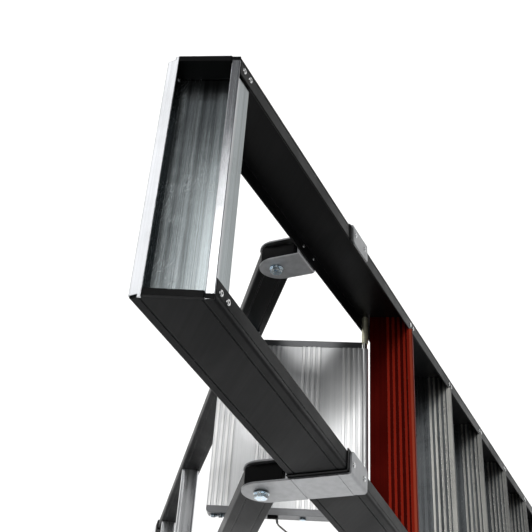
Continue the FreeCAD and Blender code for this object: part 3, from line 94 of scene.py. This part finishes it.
def make_cord():
    """A tube along the route's spline."""
    curve = bpy.data.curves.new("hanging_cord", "CURVE")
    curve.dimensions = "3D"
    curve.bevel_resolution = 5
    curve.resolution_u = 16
    curve.use_fill_caps = True
    line = curve.splines.new("NURBS")
    line.points.add(len(CORD_ROUTE) - 1)
    for point, place in zip(line.points, CORD_ROUTE):
        point.co = (*place, 1)
        point.radius = CORD_RADIUS
    line.order_u = 3
    line.use_endpoint_u = True
    route = bpy.data.objects.new("cord_route", curve)
    centreline = bpy.data.meshes.new_from_object(route)
    curve.bevel_depth = 1     # times each point's radius
    cord = bpy.data.objects.new("hanging_cord", bpy.data.meshes.new_from_object(route))
    bpy.data.objects.remove(route)
    bpy.data.meshes.remove(centreline)
    scene.collection.objects.link(cord)
    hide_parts("platform_cord")
    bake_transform(cord)
    return cord


cord = make_cord()

# ---------------------------------------------------------------------------------------
# Materials
# ---------------------------------------------------------------------------------------

class Look:
    """A node material with a Principled shader, and short calls to build its pattern."""

    def __init__(self, name, metallic=0.0, specular=0.5):
        self.material = bpy.data.materials.new(name)
        self.material.use_nodes = True
        self.tree = self.material.node_tree
        self.shader = self.tree.nodes["Principled BSDF"]
        self.shader.inputs["Metallic"].default_value = metallic
        self.shader.inputs["Specular IOR Level"].default_value = specular
        self.coordinates = self.tree.nodes.new("ShaderNodeTexCoord").outputs["Object"]

    def feed(self, socket, value):
        if isinstance(value, bpy.types.NodeSocket):
            self.tree.links.new(value, socket)
        else:
            socket.default_value = value

    def turned(self, rotation=(0, 0, 0), scale=(1, 1, 1)):
        """Object coordinates, turned so that X runs along a member and then stretched."""
        turned = self.tree.nodes.new("ShaderNodeMapping")
        turned.inputs["Rotation"].default_value = rotation
        self.feed(turned.inputs["Vector"], self.coordinates)
        stretched = self.tree.nodes.new("ShaderNodeMapping")
        stretched.inputs["Scale"].default_value = scale
        self.feed(stretched.inputs["Vector"], turned.outputs["Vector"])
        return stretched.outputs["Vector"]

    def place(self, axis):
        """Where a point is along X, Y or Z of the object's frame, in metres."""
        split = self.tree.nodes.new("ShaderNodeSeparateXYZ")
        self.feed(split.inputs[0], self.coordinates)
        return split.outputs[axis]

    def noise(self, vector, scale, detail=2.0, rough=0.5, distortion=0.0):
        item = self.tree.nodes.new("ShaderNodeTexNoise")
        self.feed(item.inputs["Vector"], vector)
        item.inputs["Scale"].default_value = scale
        item.inputs["Detail"].default_value = detail
        item.inputs["Roughness"].default_value = rough
        item.inputs["Distortion"].default_value = distortion
        return item.outputs["Fac"]

    def cells(self, vector, scale, feature="DISTANCE_TO_EDGE"):
        item = self.tree.nodes.new("ShaderNodeTexVoronoi")
        item.feature = feature
        self.feed(item.inputs["Vector"], vector)
        item.inputs["Scale"].default_value = scale
        return item.outputs["Distance"]

    def span(self, value, low, high, to_low=0.0, to_high=1.0):
        """The value carried smoothly from one range to another."""
        item = self.tree.nodes.new("ShaderNodeMapRange")
        item.interpolation_type = "SMOOTHSTEP"
        self.feed(item.inputs["Value"], value)
        for socket, amount in (("From Min", low), ("From Max", high), ("To Min", to_low),
                               ("To Max", to_high)):
            item.inputs[socket].default_value = amount
        return item.outputs["Result"]

    def sum(self, kind, first, second):
        item = self.tree.nodes.new("ShaderNodeMath")
        item.operation = kind
        self.feed(item.inputs[0], first)
        self.feed(item.inputs[1], second)
        return item.outputs[0]

    def mix(self, share, first, second):
        item = self.tree.nodes.new("ShaderNodeMix")
        item.data_type = "RGBA"
        self.feed(item.inputs["Factor"], share)
        for socket, colour in ((item.inputs[6], first), (item.inputs[7], second)):
            self.feed(socket, (*colour, 1) if isinstance(colour, tuple) else colour)
        return item.outputs[2]

    def edges(self, radius):
        """The rounded normal near edges, and how much it differs from the face's own."""
        bevel = self.tree.nodes.new("ShaderNodeBevel")
        bevel.samples = 4
        bevel.inputs["Radius"].default_value = radius
        face = self.tree.nodes.new("ShaderNodeNewGeometry")
        dot = self.tree.nodes.new("ShaderNodeVectorMath")
        dot.operation = "DOT_PRODUCT"
        self.feed(dot.inputs[0], bevel.outputs["Normal"])
        self.feed(dot.inputs[1], face.outputs["Normal"])
        return bevel.outputs["Normal"], self.span(dot.outputs["Value"], 0.99, 0.80)

    def finish(self, colour, roughness, height=None, strength=0.2, distance=0.0002, normal=None):
        self.feed(self.shader.inputs["Base Color"], colour)
        self.feed(self.shader.inputs["Roughness"], roughness)
        if height is not None:
            bump = self.tree.nodes.new("ShaderNodeBump")
            bump.inputs["Strength"].default_value = strength
            bump.inputs["Distance"].default_value = distance
            self.feed(bump.inputs["Height"], height)
            if normal is not None:
                self.feed(bump.inputs["Normal"], normal)
            normal = bump.outputs["Normal"]
        if normal is not None:
            self.feed(self.shader.inputs["Normal"], normal)
        return self.material


def times(factor, colour):
    return tuple(c * factor for c in colour)


RIB_STEP = 0.0009     # a tread's or plank's ribs stand this far over the metal between them


def drawn_metal(name, colour, turn=(0, 0, 0), smooth=0.16, dull=0.36, lines=0.25, wear=0.5,
                hollow_shade=None, top=0.0, step=RIB_STEP, streaks=1.0, painted_edge=(0.93, 0.93, 0.93)):
    """Bare extruded metal: drawing lines along local X, light stains, scuffs, and edges painted to
    an edge colour, light for a painted highlight and dark for painted shade.

    With a hollow colour given, what lies lower than top by more than step is painted to that
    colour, as painted shade in the hollows.
    """
    look = Look(name, metallic=1.0)
    fine = look.noise(look.turned(turn, (4, 2600, 2600)), 1.0, 3.0, 0.6)
    broad = look.noise(look.turned(turn, (0.9, 95, 95)), 1.0, 2.0)
    cloud = look.noise(look.turned(turn), 9.0, 4.0, 0.6, 0.4)
    speck = look.noise(look.turned(turn), 420.0, 2.0)
    scuff_from = look.turned((turn[0], turn[1], turn[2] + 0.35), (5, 60, 60))
    scuff = look.span(look.cells(scuff_from, 5.0), 0.012, 0.0)
    scuff = look.sum("MULTIPLY", scuff, look.span(cloud, 0.48, 0.62))
    normal, edge = look.edges(0.0008)
    lively = look.sum("ADD", look.sum("MULTIPLY", fine, 0.55), look.sum("MULTIPLY", broad, 0.45))
    shade = look.mix(look.span(lively, 0.3, 0.7), times(0.80, colour),
                     tuple(min(1.0, c) for c in times(1.12, colour)))
    shade = look.mix(look.sum("MULTIPLY", look.span(cloud, 0.5, 0.75), 0.35), shade,
                     tuple(c * f for c, f in zip(colour, (0.72, 0.72, 0.70))))
    # Painted shade in the hollows: below top by more than step the metal takes the darker hollow
    # colour, varied a little.
    if hollow_shade:
        painted_hollow_shade = look.mix(look.span(lively, 0.35, 0.65), times(1 - 0.3 * streaks, hollow_shade),
                         times(1 + 0.5 * streaks, hollow_shade))
        raised = look.span(look.place("Z"), top - step, top - step / 3)
        shade = look.mix(raised, painted_hollow_shade, shade)
    # Edges are painted toward the edge colour: a light one is a painted highlight, a dark one
    # painted shade.
    shade = look.mix(look.sum("MULTIPLY", edge, 0.5), shade, painted_edge)
    shade = look.mix(look.sum("MULTIPLY", scuff, wear), shade, (0.9, 0.9, 0.9))
    rough = look.sum("ADD", look.span(lively, 0.25, 0.75, smooth, dull),
                     look.span(cloud, 0.35, 0.75, 0.0, 0.10))
    rough = look.sum("ADD", rough, look.sum("MULTIPLY", scuff, 0.15))
    height = look.sum("ADD", look.sum("MULTIPLY", fine, 0.5), look.sum("MULTIPLY", broad, 0.25))
    height = look.sum("ADD", height, look.sum("MULTIPLY", speck, 0.1))
    return look.finish(shade, rough, height, lines, 0.00008, normal)


def coated(name, colour, light, turn=(0, 0, 0), smooth=0.34, dull=0.52, specular=0.25, wear=0.4,
           dust=(0.10, 0.10, 0.10)):
    """A thin coat on extruded metal: fine grain, lengthwise lines, smudges, chipped edges and a
    painted highlight along every edge.
    """
    look = Look(name, specular=specular)
    grain = look.noise(look.turned(), 2600.0, 2.0)
    lines = look.noise(look.turned(turn, (1.2, 260, 260)), 1.0, 2.0)
    cloud = look.noise(look.turned(turn, (0.5, 1, 1)), 7.0, 5.0, 0.62, 0.5)
    normal, edge = look.edges(0.0009)
    shade = look.mix(look.span(lines, 0.3, 0.7), colour, light)
    shade = look.mix(look.sum("MULTIPLY", look.span(grain, 0.45, 0.75), 0.35), shade,
                     times(1.6, light))
    shade = look.mix(look.sum("MULTIPLY", look.span(cloud, 0.55, 0.85), 0.10), shade, dust)
    chips = look.span(look.noise(look.turned(), 260.0, 4.0, 0.7), 0.50, 0.64)
    # A painted highlight along every edge; the grey chips on the edges after it are real wear.
    shade = look.mix(look.sum("MULTIPLY", edge, 0.5), shade, times(6, light))
    shade = look.mix(look.sum("MULTIPLY", look.sum("MULTIPLY", edge, chips), wear), shade,
                     (0.32, 0.32, 0.32))
    rough = look.sum("ADD", look.span(cloud, 0.3, 0.7, smooth, dull),
                     look.span(grain, 0.3, 0.7, -0.04, 0.06))
    height = look.sum("ADD", look.sum("MULTIPLY", grain, 0.6), look.sum("MULTIPLY", lines, 0.5))
    return look.finish(shade, rough, height, 0.16, 0.00010, normal)


def plated(name, colour, tint, painted_edge=(0.95, 0.96, 0.97)):
    """Zinc plating: small crystals with a faint blue and straw tint, and edges painted to the edge
    colour, light for a painted highlight and dark for painted shade.
    """
    look = Look(name, metallic=1.0)
    crystals = look.cells(look.turned(), 700.0, "F1")
    cloud = look.noise(look.turned(), 160.0, 3.0, 0.6, 0.8)
    normal, edge = look.edges(0.0005)
    shade = look.mix(look.span(cloud, 0.35, 0.65), colour, tint)
    shade = look.mix(look.span(crystals, 0.2, 0.8, 0.0, 0.35), shade, (0.45, 0.44, 0.42))
    # Edges are painted toward the edge colour: a light one is a painted highlight, a dark one
    # painted shade.
    shade = look.mix(look.sum("MULTIPLY", edge, 0.7), shade, painted_edge)
    rough = look.sum("ADD", look.span(cloud, 0.3, 0.7, 0.11, 0.26),
                     look.sum("MULTIPLY", crystals, 0.08))
    return look.finish(shade, rough, crystals, 0.15, 0.00008, normal)


def moulded(name, colour, light, grain_scale=1500.0, smooth=0.38, dull=0.55, bump=0.25,
            specular=0.4):
    """Moulded plastic or rubber: a fine grain, faint flow marks and dust in it, and a painted
    highlight along its edges.
    """
    look = Look(name, specular=specular)
    grain = look.cells(look.turned(), grain_scale, "F1")
    cloud = look.noise(look.turned(), 22.0, 5.0, 0.6, 0.6)
    normal, edge = look.edges(0.0008)
    shade = look.mix(look.span(cloud, 0.35, 0.7), colour, light)
    # A painted highlight along the edges.
    shade = look.mix(look.sum("MULTIPLY", edge, 0.45), shade, times(3.0, light))
    rough = look.span(cloud, 0.3, 0.7, smooth, dull)
    return look.finish(shade, rough, grain, bump, 0.00012, normal)


def braided(name, colour, light):
    """Thin braided cord: two crossing spirals of yarn, with fuzz between them."""
    look = Look(name, specular=0.2)
    look.shader.inputs["Sheen Weight"].default_value = 0.35
    fuzz = look.noise(look.turned(), 3800.0, 3.0)
    yarn = look.cells(look.turned(), 1150.0, "F1")
    soil = look.noise(look.turned(), 60.0, 3.0)
    shade = look.mix(look.span(yarn, 0.1, 0.75), light, colour)
    shade = look.mix(look.span(soil, 0.45, 0.7, 0.0, 0.4), shade, times(0.6, colour))
    height = look.sum("SUBTRACT", look.sum("MULTIPLY", fuzz, 0.3), yarn)
    return look.finish(shade, look.span(fuzz, 0.3, 0.7, 0.72, 0.92), height, 0.5, 0.0004)


def red_tread():
    """Red anodised metal: deep red between the ribs, worn brighter on what feet touch."""
    look = Look("red_tread", metallic=0.55, specular=0.2)
    look.shader.inputs["Specular Tint"].default_value = (1, 0.25, 0.18, 1)
    low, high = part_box("top_tread")
    raised = look.span(look.place("Z"), high.z - RIB_STEP, high.z - RIB_STEP / 3)
    nose = look.span(look.place("Y"), low.y + 0.011, low.y + 0.009)
    nose = look.sum("MULTIPLY", raised, nose)
    lines = look.noise(look.turned((0, 0, 0), (1.5, 300, 300)), 1.0, 2.0)
    grain = look.noise(look.turned(), 2200.0, 2.0)
    cloud = look.noise(look.turned((0, 0, 0), (0.6, 1, 1)), 16.0, 5.0, 0.62, 0.5)
    normal, edge = look.edges(0.0008)
    shade = look.mix(look.span(lines, 0.3, 0.7), (0.044, 0.0005, 0.0002), (0.060, 0.0010, 0.0004))
    worn = look.sum("MULTIPLY", raised, look.span(cloud, 0.2, 0.6, 0.7, 1.0))
    shade = look.mix(worn, shade, (0.26, 0.016, 0.007))
    shade = look.mix(look.sum("MULTIPLY", nose, 0.8), shade, (0.40, 0.070, 0.036))
    chips = look.span(look.noise(look.turned(), 320.0, 4.0, 0.7), 0.48, 0.62)
    shade = look.mix(look.sum("MULTIPLY", look.sum("MULTIPLY", edge, chips), 0.5), shade,
                     (0.55, 0.30, 0.24))
    rough = look.sum("ADD", look.span(cloud, 0.3, 0.7, 0.30, 0.46),
                     look.span(grain, 0.3, 0.7, -0.03, 0.05))
    height = look.sum("ADD", look.sum("MULTIPLY", grain, 0.5), look.sum("MULTIPLY", lines, 0.5))
    return look.finish(shade, rough, height, 0.15, 0.00010, normal)


ALONG_Y = (0, 0, math.pi / 2)
STILE_TURN = {side: (0, math.pi / 2 + s * SPLAY, LEAN) for side, s in (("left", -1), ("right", 1))}
LEG_TURN = {side: (0, math.pi / 2 + s * SPLAY, -REAR_LEAN)
            for side, s in (("left", -1), ("right", 1))}

BLACK, BLACK_LIGHT = (0.0085, 0.0088, 0.0095), (0.0120, 0.0123, 0.0130)
LOOKS = {
    "black_frame": coated("black_frame", BLACK, BLACK_LIGHT),
    "polished_aluminium": drawn_metal("polished_aluminium", (0.74, 0.75, 0.77)),
    "ribbed_aluminium": drawn_metal("ribbed_aluminium", (0.72, 0.73, 0.74), smooth=0.2, dull=0.4),
    # The bracket's dark edge colour paints shade along its edges and pressed lines.
    "bracket_aluminium": drawn_metal("bracket_aluminium", (0.44, 0.445, 0.455), smooth=0.42,
                                     dull=0.54, lines=0.08, wear=0.2, painted_edge=(0.10, 0.10, 0.10)),
    "red_tread": red_tread(),
    # The rivets' dark edge colour paints the dark reflection round the rim of their heads.
    "rivet_aluminium": plated("rivet_aluminium", (0.80, 0.81, 0.82), (0.88, 0.88, 0.87),
                              painted_edge=(0.06, 0.06, 0.06)),
    "zinc_steel": plated("zinc_steel", (0.52, 0.72, 0.88), (0.88, 0.93, 0.95)),
    "axle_steel": plated("axle_steel", (0.62, 0.62, 0.58), (0.55, 0.55, 0.52)),
    "black_plastic": moulded("black_plastic", (0.0016, 0.0016, 0.0018), (0.0030, 0.0030, 0.0033),
                             specular=0.12),
    "grey_bush": moulded("grey_bush", (0.30, 0.31, 0.32), (0.38, 0.39, 0.40)),
    "foot_rubber": moulded("foot_rubber", (0.014, 0.014, 0.014), (0.026, 0.025, 0.024),
                           grain_scale=700.0, smooth=0.6, dull=0.8, bump=0.4, specular=0.3),
    "cord_fibre": braided("cord_fibre", (0.16, 0.14, 0.125), (0.34, 0.31, 0.28)),
}

# Nodes whose metal or coat differs from what the rest of their slot has
OWN_LOOKS = {
    # Below 13 mm under its top the tray is painted darker, inside and out: painted shade in its
    # trough.
    "tool_tray": drawn_metal("tray_aluminium", (0.60, 0.61, 0.63), smooth=0.12, dull=0.24,
                             wear=0.1, hollow_shade=(0.245, 0.270, 0.276), top=tray_high.z, step=0.013),
}
# The rail's dark colour is painted shade for its shaded outer side; its lighter edge colour is a
# painted highlight.
rail = drawn_metal("rail_aluminium", (0.20, 0.203, 0.207), ALONG_Y, smooth=0.26, dull=0.46,
                   painted_edge=(0.40, 0.40, 0.40))
spacer = drawn_metal("spacer_passivated", (0.88, 0.86, 0.66), ALONG_Y, smooth=0.42, dull=0.58)
# Between the ribs the planks are painted darker: painted shade in the grooves.
plank = drawn_metal("plank_aluminium", (0.99, 0.985, 0.96), smooth=0.28, dull=0.35, lines=0.15,
                    streaks=0.2, hollow_shade=(0.70, 0.705, 0.705), top=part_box("platform_plank_1")[1].z)
for number in range(1, 5):
    OWN_LOOKS[f"platform_plank_{number}"] = plank
# Between the ribs the treads are painted much darker: painted shade in the grooves.
for number in range(2, 7):
    OWN_LOOKS[f"tread_{number}"] = drawn_metal(
        f"tread_aluminium_{number}", (0.72, 0.71, 0.66), smooth=0.20, dull=0.34,
        hollow_shade=(0.15, 0.16, 0.165), top=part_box(f"tread_{number}")[1].z)

# Per side: how dark and how glossy the stile's coat is, then the leg's; the left side is painted
# lighter and the right darker: painted light and shade on one black coat.
COATS = {"left": (0.95, 0.07, 1.35, 0.14), "right": (0.55, 0.09, 0.45, 0.05)}
for side, (stile_painted_shade, stile_gloss, leg_painted_shade, leg_gloss) in COATS.items():
    OWN_LOOKS[f"platform_rail_{side}"] = rail
    OWN_LOOKS[f"axle_spacer_{side}"] = spacer
    OWN_LOOKS[f"stile_{side}"] = coated(
        f"black_stile_{side}", times(stile_painted_shade, BLACK), times(stile_painted_shade, BLACK_LIGHT),
        STILE_TURN[side], specular=stile_gloss)
    OWN_LOOKS[f"rear_leg_{side}"] = coated(
        f"black_leg_{side}", times(leg_painted_shade, BLACK), times(leg_painted_shade, BLACK_LIGHT),
        LEG_TURN[side], specular=leg_gloss)


def paint(item, material):
    item.data.materials.clear()
    item.data.materials.append(material)


for part in frame["record"]["subparts"]:
    name = part["node"]
    paint(frame["nodes"][name], OWN_LOOKS.get(name, LOOKS[part["material_slot"]]))

paint(cord, LOOKS["cord_fibre"])

# ---------------------------------------------------------------------------------------
# Stems left in the blind rivets, which the CAD's rivets are bored for
# ---------------------------------------------------------------------------------------

# What faces backwards out of a stile's flange, along the rivets
STILE_REAR = Vector((0, math.cos(LEAN), -math.sin(LEAN)))
HEAD_RADIUS = 0.0035     # only a rivet's head reaches this far from its axis
STEM_RADIUS = 0.00135
STEM_SINK = 0.00035      # below the top of the rivet's head
STEM_LENGTH = 0.0030
STEM_SIDES = 20


def loose_parts(item):
    """The corner points of each separate solid in a node."""
    shape = bmesh.new()
    shape.from_mesh(item.data)
    bmesh.ops.remove_doubles(shape, verts=shape.verts, dist=1e-6)
    left, parts = set(shape.verts), []
    while left:
        start = left.pop()
        found, edge = [start], [start]
        while edge:
            near = [e.other_vert(v) for v in edge for e in v.link_edges]
            edge = [v for v in dict.fromkeys(near) if v in left]
            left.difference_update(edge)
            found += edge
        parts.append([v.co.copy() for v in found])
    shape.free()
    parts.sort(key=lambda points: tuple(round(sum(p[i] for p in points) / len(points), 4)
                                        for i in range(3)))
    return parts


def head_seat(points, axis):
    """The middle of a fastener's head, at its top, and the direction it faces."""
    middle = sum(points, Vector()) / len(points)
    along = [(p - middle).dot(axis) for p in points]
    wide = [t for t, p in zip(along, points) if (p - middle - axis * t).length > HEAD_RADIUS]
    if sum(wide) < 0:
        return middle + axis * min(along), -axis
    return middle + axis * max(along), axis


def add_stem(shape, seat, outward):
    """A broken-off stem: a cylinder with a rounded rim and a small break in its middle."""
    # each ring's share of the radius, and its height over the stem's end
    rings = ((0.35, -0.00018), (0.45, 0), (0.82, 0), (1.0, -0.00022), (1.0, -STEM_LENGTH))
    side = outward.orthogonal().normalized()
    other = outward.cross(side)
    rows = []
    for share, height in rings:
        centre = seat + outward * (height - STEM_SINK)
        rows.append([shape.verts.new(centre + (side * math.cos(t) + other * math.sin(t))
                                     * STEM_RADIUS * share)
                     for t in (2 * math.pi * i / STEM_SIDES for i in range(STEM_SIDES))])
    for upper, lower in zip(rows, rows[1:]):
        for i in range(STEM_SIDES):
            j = (i + 1) % STEM_SIDES
            shape.faces.new((upper[i], lower[i], lower[j], upper[j]))
    shape.faces.new(rows[0])
    shape.faces.new(list(reversed(rows[-1])))


def new_piece(name, shape, body, slot):
    """A separate object of that mesh, which rides on the body and takes the slot's look."""
    bmesh.ops.recalc_face_normals(shape, faces=shape.faces)
    mesh = bpy.data.meshes.new(name)
    shape.to_mesh(mesh)
    shape.free()
    piece = bpy.data.objects.new(name, mesh)
    scene.collection.objects.link(piece)
    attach(piece, body)
    paint(piece, LOOKS[slot])
    return piece


for rivets, slot in (("tread_rivets", "zinc_steel"), ("bracket_rivets", "zinc_steel"),
                     ("tray_rivets", "black_plastic")):
    stems = bmesh.new()
    for points in loose_parts(frame["nodes"][rivets]):
        add_stem(stems, *head_seat(points, STILE_REAR))
    new_piece(rivets.replace("rivets", "rivet_stems"), stems, "front_frame", slot)

# ---------------------------------------------------------------------------------------
# Floor and light
# ---------------------------------------------------------------------------------------

def make_floor():
    reach = 14
    mesh = bpy.data.meshes.new("floor")
    mesh.from_pydata([(-reach, -reach, 0), (reach, -reach, 0), (reach, reach, 0),
                      (-reach, reach, 0)], [], [(0, 1, 2, 3)])
    floor = bpy.data.objects.new("floor", mesh)
    scene.collection.objects.link(floor)
    look = Look("pale_floor", specular=0.2)
    cloud = look.noise(look.turned(), 1.5, 3.0)
    look.finish(look.mix(cloud, (0.84, 0.84, 0.835), (0.87, 0.87, 0.865)),
                look.span(cloud, 0.3, 0.7, 0.65, 0.75))
    mesh.materials.append(look.material)
    return floor


def make_light(name, place, target, width, height, power, only=None):
    """A soft panel; with only, it lights nothing but that object."""
    data = bpy.data.lights.new(name, "AREA")
    data.shape = "RECTANGLE"
    data.size, data.size_y = width, height
    data.energy = power
    light = bpy.data.objects.new(name, data)
    light.location = place
    light.rotation_euler = (Vector(target) - Vector(place)).to_track_quat("-Z", "Y").to_euler()
    scene.collection.objects.link(light)
    light.visible_camera = False
    if only:
        lit = bpy.data.collections.new(name + "_lights_only")
        lit.objects.link(only)
        light.light_linking.receiver_collection = lit


floor = make_floor()
# A strip that shows in the platform, a card for the tray's sloping lip, and a weak fill
make_light("key", (0.30, 0.27, 4.5), (0.20, 0.27, 1.4), 0.64, 2.8, 25)
make_light("rear_card", (2.5, 3.0, 3.8), (0, 0.25, 2.2), 2.2, 2.0, 22)
make_light("left_fill", (-3.4, -0.8, 2.6), (0, 0.1, 1.6), 2.5, 2.2, 9)
# It makes the floor white without flattening the metal's reflections
make_light("floor_wash", (0.6, 0.2, 4.2), (0.6, 0.2, 0), 9, 9, 520, floor)

world = bpy.data.worlds.new("studio")
scene.world = world
world.use_nodes = True
background = world.node_tree.nodes["Background"]
background.inputs["Color"].default_value = (0.93, 0.96, 1, 1)
background.inputs["Strength"].default_value = 0.12
scene.view_settings.view_transform = "Standard"

bpy.context.view_layer.update()
